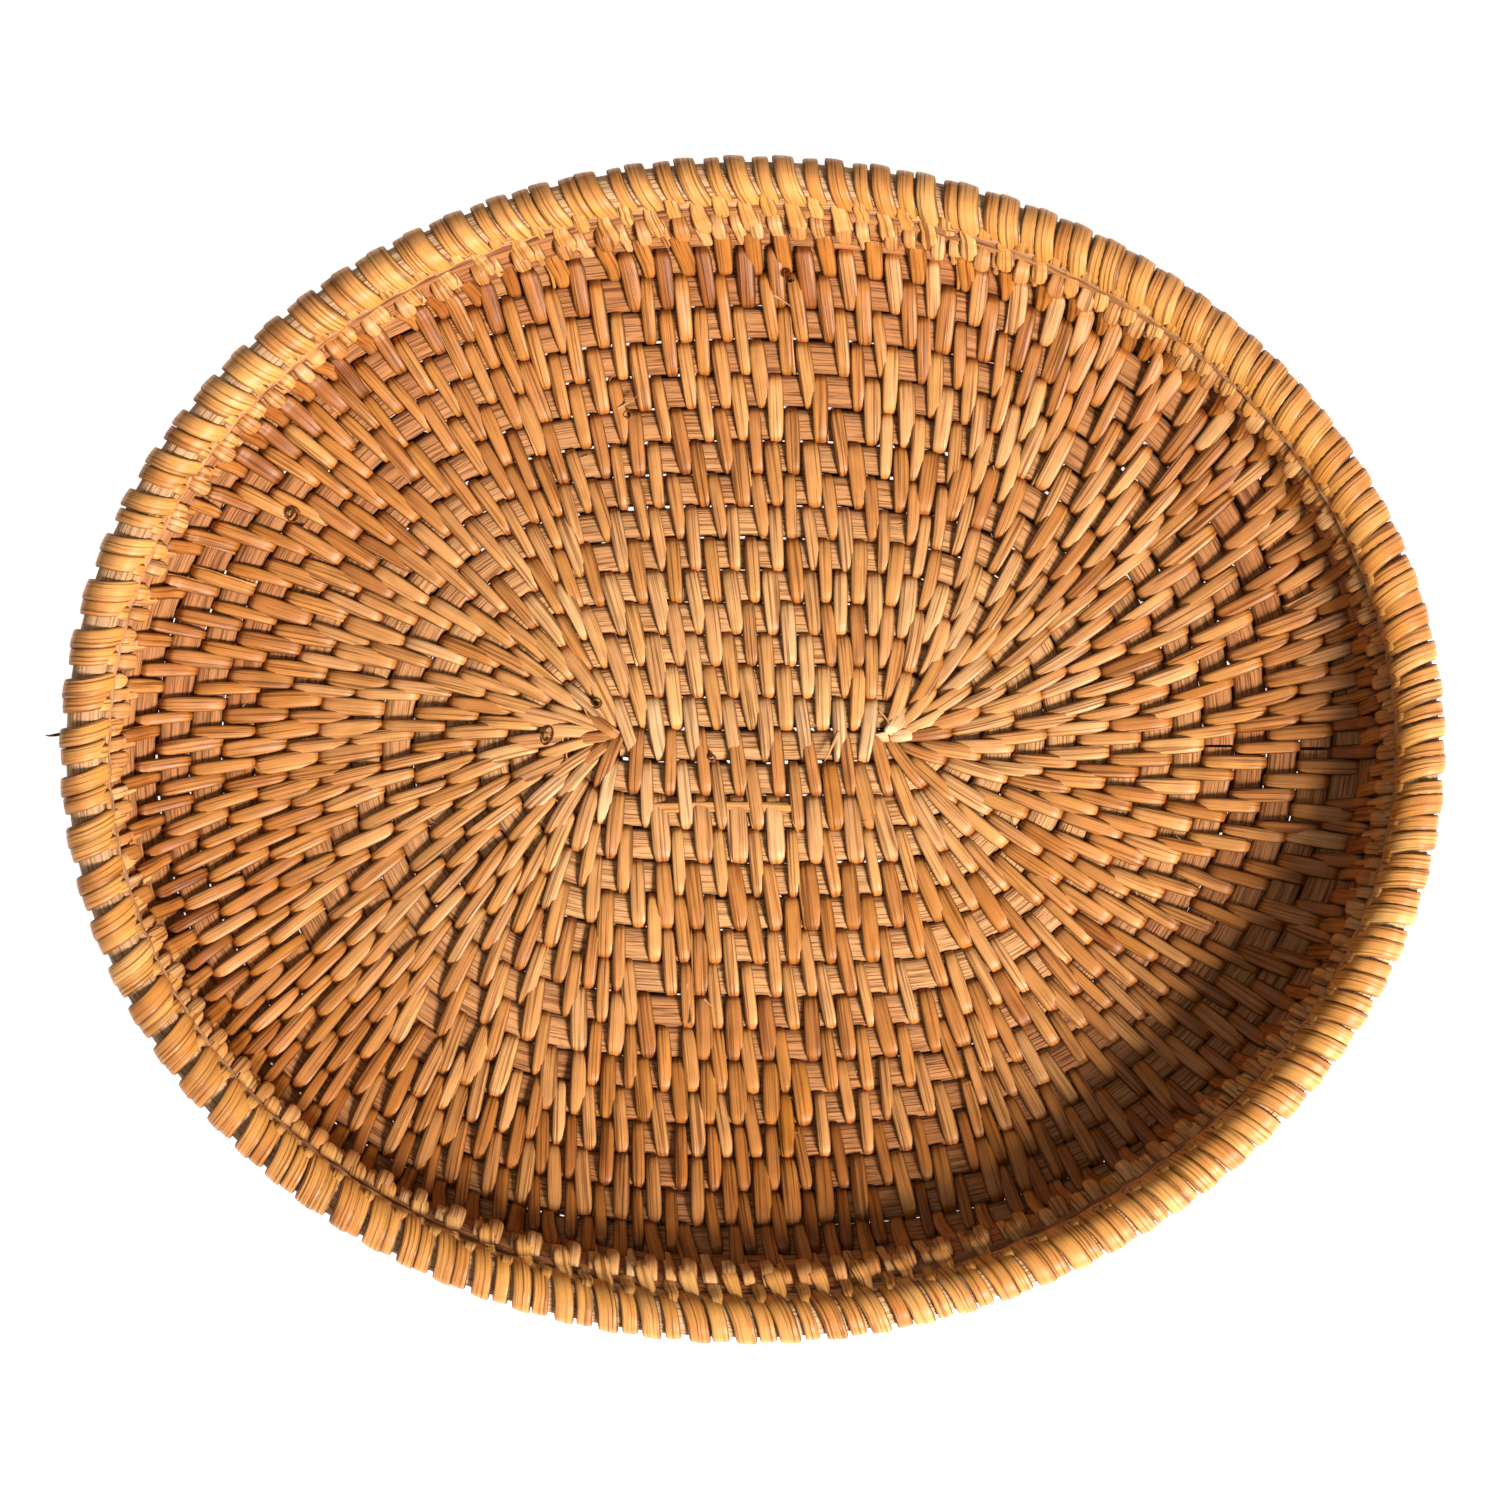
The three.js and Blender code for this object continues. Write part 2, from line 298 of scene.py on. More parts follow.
def sweep_tree():
    """Geometry nodes that draw a cane or a strip along each path of a wire mesh."""
    tree = bpy.data.node_groups.new("cane along a path", "GeometryNodeTree")
    face = tree.interface
    face.new_socket("Geometry", in_out="INPUT", socket_type="NodeSocketGeometry")
    face.new_socket("Sides", in_out="INPUT", socket_type="NodeSocketInt")
    face.new_socket("Squareness", in_out="INPUT", socket_type="NodeSocketFloat")
    face.new_socket("Belly", in_out="INPUT", socket_type="NodeSocketFloat")
    face.new_socket("Material", in_out="INPUT", socket_type="NodeSocketMaterial")
    face.new_socket("Geometry", in_out="OUTPUT", socket_type="NodeSocketGeometry")
    paths = add_node(tree, "NodeGroupInput", {}, {})

    def named(name, kind="FLOAT_VECTOR"):
        return paths.add("GeometryNodeInputNamedAttribute", {"data_type": kind}, {"Name": name})

    def kept(geometry, name, value, kind="FLOAT_VECTOR"):
        return geometry.add(
            "GeometryNodeStoreNamedAttribute", {"data_type": kind, "domain": "POINT"},
            {"Geometry": geometry, "Name": name, "Value": value})

    spot = paths.add("GeometryNodeInputPosition", {}, {})
    rails = kept(paths, "seat", spot)
    rails = rails.add("GeometryNodeMeshToCurve", {}, {"Mesh": rails})
    ring = paths.add(
        "GeometryNodeCurvePrimitiveCircle", {}, {"Resolution": paths.other("Sides"), "Radius": 1.0})
    ring_x = spot.add("ShaderNodeSeparateXYZ", {}, {0: spot})
    ring_y = ring_x.other("Y")
    square = paths.other("Squareness")
    flat_x = ring_x.maths("SIGN", ring_x) * ring_x.maths("ABSOLUTE", ring_x) ** square
    flat_y = ring_x.maths("SIGN", ring_y) * ring_x.maths("ABSOLUTE", ring_y) ** square
    under = ring_y.maths("LESS_THAN", ring_y, 0.0)
    flat_y = flat_y * (1 - under * (1 - paths.other("Belly")))
    outline = ring_x.add("ShaderNodeCombineXYZ", {}, {"X": flat_x, "Y": flat_y})
    ring = kept(ring, "section", outline)
    skin = rails.add(
        "GeometryNodeCurveToMesh", {}, {"Curve": rails, "Profile Curve": ring, "Fill Caps": True})
    section = named("section").add("ShaderNodeSeparateXYZ", {}, {0: named("section")})
    sideways = named("across").add(
        "ShaderNodeVectorMath", {"operation": "SCALE"}, {0: named("across"), "Scale": section})
    upward = sideways.add(
        "ShaderNodeVectorMath", {"operation": "SCALE"}, {0: named("rise"), "Scale": section.other("Y")})
    skin_spot = sideways.add("ShaderNodeVectorMath", {"operation": "ADD"}, {0: sideways, 1: upward})
    skin_spot = skin_spot.add("ShaderNodeVectorMath", {"operation": "ADD"}, {0: skin_spot, 1: named("seat")})
    skin = skin.add("GeometryNodeSetPosition", {}, {"Geometry": skin, "Position": skin_spot})
    half = sideways.add("ShaderNodeVectorMath", {"operation": "LENGTH"}, {0: named("across")}, "Value")
    tall = sideways.add("ShaderNodeVectorMath", {"operation": "LENGTH"}, {0: named("rise")}, "Value")
    grain = sideways.add(
        "ShaderNodeCombineXYZ", {},
        {"X": named("along", "FLOAT"), "Y": section * half, "Z": section.other("Y") * tall})
    skin = kept(skin, "grain", grain)
    for name in ("seat", "across", "rise", "along"):
        skin = skin.add("GeometryNodeRemoveAttribute", {}, {"Geometry": skin, "Name": name})
    skin = skin.add("GeometryNodeSetShadeSmooth", {}, {"Geometry": skin})
    skin = skin.add("GeometryNodeRealizeInstances", {}, {"Geometry": skin})
    skin = skin.add("GeometryNodeSetMaterial", {}, {"Geometry": skin, "Material": paths.other("Material")})
    skin.add("NodeGroupOutput", {}, {0: skin})
    return tree


SWEEP = sweep_tree()


def swept(name, paths, material, sides, squareness=1.0, belly=1.0):
    """A piece drawn along paths. A path has points, across, rise, tone, and whether it closes."""
    points = []
    edges = []
    kept = {"across": [], "rise": [], "tone": [], "along": []}
    for path in paths:
        first = len(points)
        count = len(path["points"])
        points += [tuple(p) for p in path["points"]]
        edges += [(first + i, first + i + 1) for i in range(count - 1)]
        if path.get("closed"):
            edges.append((first + count - 1, first))
        steps = np.linalg.norm(np.diff(path["points"], axis=0), axis=1)
        kept["along"].append(np.concatenate([[0], np.cumsum(steps)]) + path.get("start", 0.0))
        kept["across"].append(path["across"])
        kept["rise"].append(path["rise"])
        kept["tone"].append(np.broadcast_to(path["tone"], (count, 3)))
    wire = bpy.data.meshes.new(name + "_path")
    wire.from_pydata(points, edges, [])
    for key, kind, field in (
        ("across", "FLOAT_VECTOR", "vector"), ("rise", "FLOAT_VECTOR", "vector"),
        ("tone", "FLOAT_VECTOR", "vector"), ("along", "FLOAT", "value"),
    ):
        data = np.concatenate(kept[key]).astype(np.float32)
        wire.attributes.new(key, kind, "POINT").data.foreach_set(field, data.ravel())
    piece = bpy.data.objects.new(name, wire)
    bpy.context.scene.collection.objects.link(piece)
    maker = piece.modifiers.new("cane along a path", "NODES")
    maker.node_group = SWEEP
    sizes = {"Sides": sides, "Squareness": squareness, "Belly": belly, "Material": material}
    for socket in SWEEP.interface.items_tree:
        if socket.in_out == "INPUT" and socket.name in sizes:
            maker[socket.identifier] = sizes[socket.name]
    bpy.context.view_layer.update()
    graph = bpy.context.evaluated_depsgraph_get()
    finished = bpy.data.meshes.new_from_object(
        piece.evaluated_get(graph), preserve_all_data_layers=True, depsgraph=graph)
    piece.modifiers.remove(maker)
    piece.data = finished
    bpy.data.meshes.remove(wire)
    spots = np.empty(len(finished.vertices) * 3, np.float32)
    finished.vertices.foreach_get("co", spots)
    spots[2::3] = np.maximum(spots[2::3], LOWEST_POINT)
    finished.vertices.foreach_set("co", spots)
    finished.update()
    finished.name = name
    return piece


def fastened(piece, slot, *nodes):
    """The piece rides with the basket and stands for its CAD nodes. Its slot is not used."""
    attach(piece, "root")
    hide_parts(*nodes)


def core_finish(name, browns, pales, seam_shade):
    """Peeled rattan: pinkish tan, with long dark fibres and pores, dry and matt. Its sides are painted
    darker: painted shade in the seams.
    """
    material = new_material(name)
    tree = material.node_tree
    grain = add_node(tree, "ShaderNodeAttribute", {"attribute_name": "grain"}, {}, "Vector")
    tone = grain.add("ShaderNodeAttribute", {"attribute_name": "tone"}, {}, "Vector")
    tone = tone.add("ShaderNodeSeparateXYZ", {}, {0: tone})
    stretched = grain.add("ShaderNodeVectorMath", {"operation": "MULTIPLY"}, {0: grain, 1: (80, 2400, 2100)})
    fibre = stretched.add("ShaderNodeTexNoise", {}, {"Vector": stretched, "Scale": 1.0, "Detail": 3.0})
    wide = grain.add("ShaderNodeVectorMath", {"operation": "MULTIPLY"}, {0: grain, 1: (28, 700, 700)})
    streak = wide.add("ShaderNodeTexNoise", {}, {"Vector": wide, "Scale": 1.0, "Detail": 2.0})
    fine = fibre.add("ShaderNodeMapRange", {}, {0: fibre, 1: 0.34, 2: 0.52})
    pale = fibre.add(
        "ShaderNodeMix", {"data_type": "RGBA"},
        {"Factor": tone, 6: (*pales[0], 1), 7: (*pales[1], 1)}, 2)
    brown = fibre.add(
        "ShaderNodeMix", {"data_type": "RGBA"},
        {"Factor": tone, 6: (*browns[0], 1), 7: (*browns[1], 1)}, 2)
    colour = fibre.add("ShaderNodeMix", {"data_type": "RGBA"}, {"Factor": fine, 6: brown, 7: pale}, 2)
    light = streak.add("ShaderNodeMapRange", {}, {0: streak, 1: 0.3, 2: 0.7, 3: 0.78, 4: 1.18})
    colour = colour.add("ShaderNodeVectorMath", {"operation": "SCALE"}, {0: colour, "Scale": light})
    section = colour.add("ShaderNodeAttribute", {"attribute_name": "section"}, {}, "Vector")
    section = section.add("ShaderNodeSeparateXYZ", {}, {0: section})
    # Painted shade: the cane's sides, down in the seams between rows, are darkened by seam_shade.
    side = section.maths("ABSOLUTE", section.other("Y"))
    seam = side.add("ShaderNodeMapRange", {}, {0: side, 1: 0.3, 2: 0.95, 3: seam_shade, 4: 1.0})
    colour = colour.add("ShaderNodeVectorMath", {"operation": "SCALE"}, {0: colour, "Scale": seam})
    bump = colour.add(
        "ShaderNodeBump", {}, {"Height": fine * 0.7 + streak, "Strength": 0.6, "Distance": 0.0003})
    wood = colour.add(
        "ShaderNodeBsdfPrincipled", {},
        {"Base Color": colour, "Roughness": 0.82 - fine * 0.14, "Normal": bump, "Specular IOR Level": 0.3})
    wood.add("ShaderNodeOutputMaterial", {}, {"Surface": wood})
    return material


CORE_CANE = core_finish(
    "peeled core cane",
    [(0.15, 0.037, 0.008), (0.35, 0.13, 0.034)],
    [(0.46, 0.15, 0.04), (0.82, 0.43, 0.18)],
    0.14)
CORE_WIDEST = 4.45 * MM
CORE_GAP = 0.1 * MM
CORE_HALF_HEIGHT = 2.3 * MM
CORE_STEP = 2.6 * MM
LENGTH_ENDS = [COIL_START, 6, 10, 13, 15, COIL_END]
JOINT_TURNS = 0.0006
WALL_TRIM = 0.75 * MM
dice = random.Random(713)


def wander(count, seed, slow):
    """A smooth random line about 0 that changes over slow steps."""
    source = np.random.default_rng(seed)
    knots = source.normal(0, 1, int(count / slow) + 4)
    at = np.arange(count) / slow
    low = at.astype(int)
    part = at - low
    part = part * part * (3 - 2 * part)
    return knots[low] * (1 - part) + knots[low + 1] * part


def coil_turns(first, last, step):
    """Turns between two ends of the coil, evenly spaced along the cane."""
    fine = np.linspace(first, last, max(60, int((last - first) * 400)))
    spots = place(coil_row(fine), fine)
    run = np.concatenate([[0], np.cumsum(np.linalg.norm(np.diff(spots, axis=0), axis=1))])
    return np.interp(np.linspace(0, run[-1], int(run[-1] / step) + 2), run, fine)


for number in range(5):
    first = LENGTH_ENDS[number]
    last = LENGTH_ENDS[number + 1]
    turns = coil_turns(first, last, CORE_STEP)
    turns[0] += JOINT_TURNS
    turns[-1] -= JOINT_TURNS
    rows = coil_row(turns)
    point, ahead, out, up = frames(rows, turns)
    room = room_at(turns)
    wall = eased(13, 15, rows)
    slim = 0.86 + 0.14 * np.clip((turns - COIL_START) / 0.8, 0, 1)
    floor_rows = np.minimum(rows, FLOOR_ROWS - 0.5)
    gap_to_gap = np.linalg.norm(place(floor_rows + 0.5, turns) - place(floor_rows - 0.5, turns), axis=-1)
    widest = CORE_WIDEST - WALL_TRIM * eased(FLOOR_ROWS, FLOOR_ROWS + 1, rows)
    width = np.minimum(widest, gap_to_gap / 2 - CORE_GAP) * slim * (0.25 + 0.75 * room)
    width *= 1 + 0.035 * wander(len(turns), 11 + number, 9)
    height = CORE_HALF_HEIGHT * (0.35 + 0.65 * room) * (1 - 0.06 * wall)
    point = point + out * (0.14 * MM * wander(len(turns), 31 + number, 7))[:, None]
    point = point + up * (0.12 * MM * wander(len(turns), 51 + number, 8) - 0.05 * MM)[:, None]
    # Painted shade: the cane is painted darker towards the outer rows, where the wall shades the floor, with
    # a random tone on top.
    shade = np.clip(0.85 - 0.6 * eased(4, 13, rows) + 0.09 * wander(len(turns), 71 + number, 22), 0, 1)
    path = {
        "points": point,
        "across": out * width[:, None],
        "rise": up * height[:, None],
        "tone": np.stack([shade, shade, shade], -1),
        "start": number * 3.0,
    }
    cane = swept("core_length_%d" % (number + 1), [path], CORE_CANE, 14, squareness=0.57)
    fastened(cane, "core_cane", "core_cane_%d" % (number + 1))

# The binder. Split rattan skin, domed on its outside, that sews each row to the row inside
# it. A stitch comes up outside a row, lies over that row and the next one in, goes down
# inside both and runs back beneath them. It is worked in twenty-four lengths.


def binder_finish(name, stops, edge_shade):
    """Rattan skin: honey to orange, with a few long dark grain lines and a satin shine. Its underside and
    side edges are painted darker: painted shade.
    """
    material = new_material(name)
    tree = material.node_tree
    grain = add_node(tree, "ShaderNodeAttribute", {"attribute_name": "grain"}, {}, "Vector")
    tone = grain.add("ShaderNodeAttribute", {"attribute_name": "tone"}, {}, "Vector")
    tone = tone.add("ShaderNodeSeparateXYZ", {}, {0: tone})
    amber = tone.other("Y")
    blush = tone.other("Z")
    stretched = grain.add("ShaderNodeVectorMath", {"operation": "MULTIPLY"}, {0: grain, 1: (34, 1500, 500)})
    line = stretched.add("ShaderNodeTexNoise", {}, {"Vector": stretched, "Scale": 1.0, "Detail": 2.0})
    thin = grain.add("ShaderNodeVectorMath", {"operation": "MULTIPLY"}, {0: grain, 1: (60, 4200, 1500)})
    hair = thin.add("ShaderNodeTexNoise", {}, {"Vector": thin, "Scale": 1.0, "Detail": 1.0})
    broad = grain.add("ShaderNodeVectorMath", {"operation": "MULTIPLY"}, {0: grain, 1: (160, 260, 260)})
    patch = broad.add("ShaderNodeTexNoise", {}, {"Vector": broad, "Scale": 1.0, "Detail": 3.0})
    honey = tone.add("ShaderNodeValToRGB", {"stops": stops}, {0: tone}, "Color")
    tint = tone.add("ShaderNodeCombineXYZ", {}, {"X": 1.0, "Y": 0.95 + 0.1 * blush, "Z": 0.75 + 0.5 * blush})
    honey = tone.add("ShaderNodeVectorMath", {"operation": "MULTIPLY"}, {0: honey, 1: tint})
    colour = honey.add(
        "ShaderNodeMix", {"data_type": "RGBA"}, {"Factor": amber, 6: honey, 7: (0.50, 0.17, 0.018, 1)}, 2)
    dark = line.add("ShaderNodeMapRange", {}, {0: line, 1: 0.32, 2: 0.5, 3: 0.42, 4: 1.0})
    soft = hair.add("ShaderNodeMapRange", {}, {0: hair, 1: 0.3, 2: 0.7, 3: 0.8, 4: 1.14})
    cloud = patch.add("ShaderNodeMapRange", {}, {0: patch, 1: 0.3, 2: 0.7, 3: 0.86, 4: 1.1})
    colour = colour.add(
        "ShaderNodeVectorMath", {"operation": "SCALE"}, {0: colour, "Scale": dark * soft * cloud})
    warm = dark.add(
        "ShaderNodeMix", {"data_type": "RGBA"},
        {"Factor": dark, 6: (1.0, 0.72, 0.45, 1), 7: (1, 1, 1, 1)}, 2)
    colour = colour.add("ShaderNodeVectorMath", {"operation": "MULTIPLY"}, {0: colour, 1: warm})
    section = colour.add("ShaderNodeAttribute", {"attribute_name": "section"}, {}, "Vector")
    section = section.add("ShaderNodeSeparateXYZ", {}, {0: section})
    high = section.other("Y")
    side = high.maths("ABSOLUTE", section)
    # Painted shade: the strip's lower half and underside, and its two side edges, are darkened by
    # edge_shade.
    edge = high.add("ShaderNodeMapRange", {}, {0: high, 1: 0.0, 2: 0.5, 3: edge_shade, 4: 1.0})
    painted_side_shade = side.add("ShaderNodeMapRange", {}, {0: side, 1: 0.72, 2: 1.0, 3: 1.0, 4: edge_shade})
    colour = colour.add("ShaderNodeVectorMath", {"operation": "SCALE"}, {0: colour, "Scale": edge * painted_side_shade})
    bump = colour.add(
        "ShaderNodeBump", {}, {"Height": dark * 0.8 + hair * 0.25, "Strength": 0.65, "Distance": 0.0003})
    skin = colour.add(
        "ShaderNodeBsdfPrincipled", {},
        {"Base Color": colour, "Roughness": 0.52 - soft * 0.1, "Normal": bump,
         "Specular IOR Level": 0.25, "Coat Weight": 0.05 + 0.18 * patch, "Coat Roughness": 0.4})
    skin.add("ShaderNodeOutputMaterial", {}, {"Surface": skin})
    return material


BINDER_SKIN = binder_finish(
    "binder skin",
    [(0.0, (0.22, 0.06, 0.012)), (0.25, (0.42, 0.135, 0.03)), (0.5, (0.64, 0.255, 0.07)),
     (0.75, (0.81, 0.395, 0.145)), (1.0, (0.91, 0.55, 0.27))],
    0.34)
STITCH_PITCH = 8.9 * MM
CLOSE_PITCH = 7.3 * MM
STITCH_HALF_WIDTH = 1.88 * MM
STITCH_HALF_HEIGHT = 0.62 * MM
STITCH_DRIFT = 4.4 * MM
STITCH_SLANT = 1.9 * MM
LOWEST_STRIP = 0.45 * MM
FAN_REACH = 0.45
FAN_SETBACK = 1.2
BINDER_LENGTHS = 24
# Each line is a point of one stitch: share of the way in, height above the cane, width, thickness.
STITCH_PATH = (
    (0.00, -1.2, 0.74, 0.7),
    (0.005, 0.9, 0.78, 0.8),
    (0.03, 2.0, 0.86, 0.95),
    (0.09, 2.62, 0.96, 1.0),
    (0.20, 3.0, 1.02, 1.0),
    (0.34, 3.2, 1.02, 1.0),
    (0.50, 3.22, 1.0, 1.0),
    (0.66, 3.14, 0.98, 1.0),
    (0.80, 2.9, 0.94, 1.0),
    (0.91, 2.5, 0.88, 1.0),
    (0.97, 1.9, 0.8, 0.95),
    (0.995, 0.9, 0.74, 0.8),
    (1.00, -1.2, 0.72, 0.7),
)
STITCH_UNDER = (
    (0.93, -2.45, 0.8, 0.7),
    (0.6, -2.8, 0.95, 0.72),
    (0.3, -2.8, 0.95, 0.72),
    (0.05, -2.3, 0.8, 0.7),
)
# The last rows: how far up a stitch may start, where the coil's last turn ends, and where the
# stitches start past it.
HIGHEST_START = 16.62
LAST_TURN_END = 16.99
TOP_START = 16.5
RUN_TURNS = np.linspace(0, 17.4, 17400)
run_spots = place(np.minimum(seam_row(RUN_TURNS + 1), coil_row(RUN_TURNS) + 0.5), RUN_TURNS)
RUN = np.concatenate([[0], np.cumsum(np.linalg.norm(np.diff(run_spots, axis=0), axis=1))])


def run_of(turn):
    """How far along the outside of the row a turn is, in metres."""
    return float(np.interp(turn, RUN_TURNS, RUN))


def turn_of(run):
    return float(np.interp(run, RUN, RUN_TURNS))


def stitch_turns():
    """Where the stitches stand: each one just past a stitch of the row inside it, with new ones
    worked in where the fan of stitches has opened too far."""
    stitches = [0.03]
    parent = 0
    while stitches[-1] < COIL_END - 0.004:
        last = stitches[-1]
        here = run_of(last)
        at_end = abs(math.cos(2 * math.pi * last)) ** 3
        early = min(1.0, max(0.0, (last - 1) / 12))
        usual = STITCH_PITCH - (STITCH_PITCH - CLOSE_PITCH) * at_end * (1 - early)
        if last < 1.0:
            stitches.append(turn_of(here + usual * dice.uniform(0.93, 1.07)))
            continue
        drift = STITCH_DRIFT * usual / STITCH_PITCH
        while parent < len(stitches) - 1 and run_of(stitches[parent] + 1) + drift < here + 0.55 * usual:
            parent += 1
        spare = run_of(stitches[parent] + 1) + drift - here
        if spare > 1.55 * usual:
            spare = spare / 2 if spare < 2.5 * usual else usual
        stitches.append(turn_of(here + spare + dice.uniform(-0.3, 0.3) * MM))
    return stitches[:-1]


def stitched(stitch, onward, look):
    """The points of one stitch, from its outer end over both rows and back beneath them."""
    turn = stitch
    outside = min(float(seam_row(turn + 1)), HIGHEST_START) if turn + 1 < LAST_TURN_END else TOP_START
    outside = min(outside, float(coil_row(turn)) + 0.5)
    inside = float(seam_row(turn - 1)) if turn > 1.2 else turn - 1
    if turn < 2.3:
        at_end = eased(0.8, 1.0, abs(math.cos(2 * math.pi * turn)))
        inside = max(inside, FAN_REACH * at_end - FAN_SETBACK * (turn < 0.8))
    slant = turn - turn_of(run_of(turn) - look["slant"])
    rows = []
    turns = []
    lifts = []
    wides = []
    thicks = []
    for part, lift, wide, thick in STITCH_PATH:
        rows.append(outside + (inside - outside) * part)
        turns.append(turn - slant * part)
        lifts.append(lift * MM)
        wides.append(wide)
        thicks.append(thick)
    for part, lift, wide, thick in STITCH_UNDER:
        rows.append(outside + (inside - outside) * part)
        turns.append(turn - slant + (onward - turn + slant) * (1 - part))
        lifts.append(lift * MM)
        wides.append(wide)
        thicks.append(thick)
    return rows, turns, lifts, wides, thicks


def strip_on(point, ahead, wides, thicks, rolls, tones, half_width, half_height):
    """The path of a strip through points, with its width along the row that it crosses."""
    travel = unit(np.gradient(point, axis=0))
    across = unit(ahead - travel * (ahead * travel).sum(-1, keepdims=True))
    rise = np.cross(across, travel)
    roll = np.array(rolls)[:, None]
    turned = across * np.cos(roll) + rise * np.sin(roll)
    rise = rise * np.cos(roll) - across * np.sin(roll)
    return {
        "points": point,
        "across": turned * (np.array(wides) * half_width)[:, None],
        "rise": rise * (np.array(thicks) * half_height)[:, None],
        "tone": np.array(tones),
    }


def strip_path(rows, turns, lifts, wides, thicks, rolls, tones):
    """The path of a strip laid on the basket at rows, turns and heights."""
    turns = squared(rows, turns)
    point, ahead, out, up = frames(np.array(rows), turns)
    point = point + up * np.array(lifts)[:, None]
    point[:, 2] = np.maximum(point[:, 2], LOWEST_STRIP)
    return strip_on(point, ahead, wides, thicks, rolls, tones, STITCH_HALF_WIDTH, STITCH_HALF_HEIGHT)


def floor_spot(x, y, lift):
    """The point a little above the cane at x and y, the turn of the coil there and its slope."""
    turns = np.linspace(0, COIL_END, 9000)
    spots = place(coil_row(turns), turns)
    nearest = int(np.argmin(np.hypot(spots[:, 0] - x * MM, spots[:, 1] - y * MM)))
    point, ahead, out, up = frames(coil_row(turns[nearest]), turns[nearest])
    level = point + ahead * ((np.array([x, y, 0]) * MM - point) * ahead)[:2].sum()
    start = np.array([x * MM, y * MM, level[2]]) + up * lift * MM
    return start, float(turns[nearest]), up


def curl(x, y, radius, heading, tall):
    """A cut end of strip that has curled up on itself, where a new length was joined in."""
    start, turn, up = floor_spot(x, y, 3.3)
    side = unit(np.cross(up, [0.3, 1.0, 0.0]))
    front = np.cross(up, side)
    steps = np.linspace(0, 1.35, 18)
    angle = heading + 2 * math.pi * steps
    reach = radius * (1 - 0.35 * steps)
    round_it = np.cos(angle)[:, None] * side + np.sin(angle)[:, None] * front * tall
    return turn, {
        "points": start + round_it * reach[:, None] * MM + up * (0.4 * steps * MM)[:, None],
        "across": np.tile(up * 0.75 * MM, (18, 1)),
        "rise": unit(round_it) * 0.24 * MM,
        "tone": np.array([0.35, 0.1, 0.5]),
    }


def splinter(x, y, heading, length, rise, half_width, lift=3.2):
    """A fibre or sliver split off its strip, lying loose or standing a little proud."""
    start, turn, up = floor_spot(x, y, lift)
    forward = unit(np.array([math.cos(heading), math.sin(heading), 0.0]))
    forward = unit(forward - up * (forward * up).sum())
    side = np.cross(up, forward)
    steps = np.linspace(0, 1, 9)
    bend = dice.uniform(-0.16, 0.16) * length * steps**2
    thin = 1 - 0.75 * steps**1.5
    points = start + forward * (length * steps * MM)[:, None] + side * (bend * MM)[:, None]
    return turn, {
        "points": points + up * (rise * steps**1.6 * MM)[:, None],
        "across": side * (half_width * thin * MM)[:, None],
        "rise": np.tile(up * min(0.25, half_width * 0.8) * MM, (9, 1)),
        "tone": np.array([dice.uniform(0.7, 0.95), 0.0, 0.6]),
    }


LOOSE_ENDS = [
    curl(-50.1, 3.7, 1.5, 0.4, 1.8),
    curl(-38.1, 11.5, 1.35, 1.2, 1.0),
    curl(-10.0, -2.0, 1.0, 2.0, 0.9),
    curl(-30.8, 82.4, 1.2, 0.0, 1.0),
    curl(8.9, 116.0, 1.2, 2.6, 1.0),
    curl(-112.5, 57.5, 1.6, 3.8, 1.2),
    splinter(21.0, 4.5, 4.3, 8.0, 0.6, 0.45, 3.9),
    splinter(36.0, 1.5, 0.22, 13.0, 0.7, 0.4, 3.9),
    splinter(31.0, 9.5, 5.5, 4.5, 0.8, 0.3, 3.9),
    splinter(-43.0, 13.5, 5.2, 7.0, 0.6, 0.3),
    splinter(-47.0, 5.0, 4.9, 7.5, 0.4, 0.3),
    splinter(-45.0, 4.0, 4.6, 7.0, 0.5, 0.26),
    splinter(-33.0, 84.0, 0.5, 6.0, 0.9, 0.3),
    splinter(-16.0, -57.0, 4.9, 10.5, 0.5, 0.5, 3.5),
    splinter(4.0, 112.0, 5.8, 6.5, 1.0, 0.35),
    splinter(-110.0, 55.0, 5.4, 4.0, 0.6, 0.4),
    splinter(96.0, -70.0, 5.6, 6.0, 1.0, 0.3),
    splinter(101.0, -66.0, 5.2, 5.0, 1.2, 0.26),
    splinter(-12.0, -61.0, 5.6, 5.0, 0.8, 0.22),
]
for _ in range(110):
    far = math.sqrt(dice.random())
    away = dice.uniform(0, 2 * math.pi)
    LOOSE_ENDS.append(splinter(
        138 * far * math.cos(away), 108 * far * math.sin(away), dice.uniform(0, 2 * math.pi),
        dice.uniform(1.5, 4.5), dice.uniform(0.0, 0.8), dice.uniform(0.07, 0.14), dice.uniform(2.35, 3.3)))

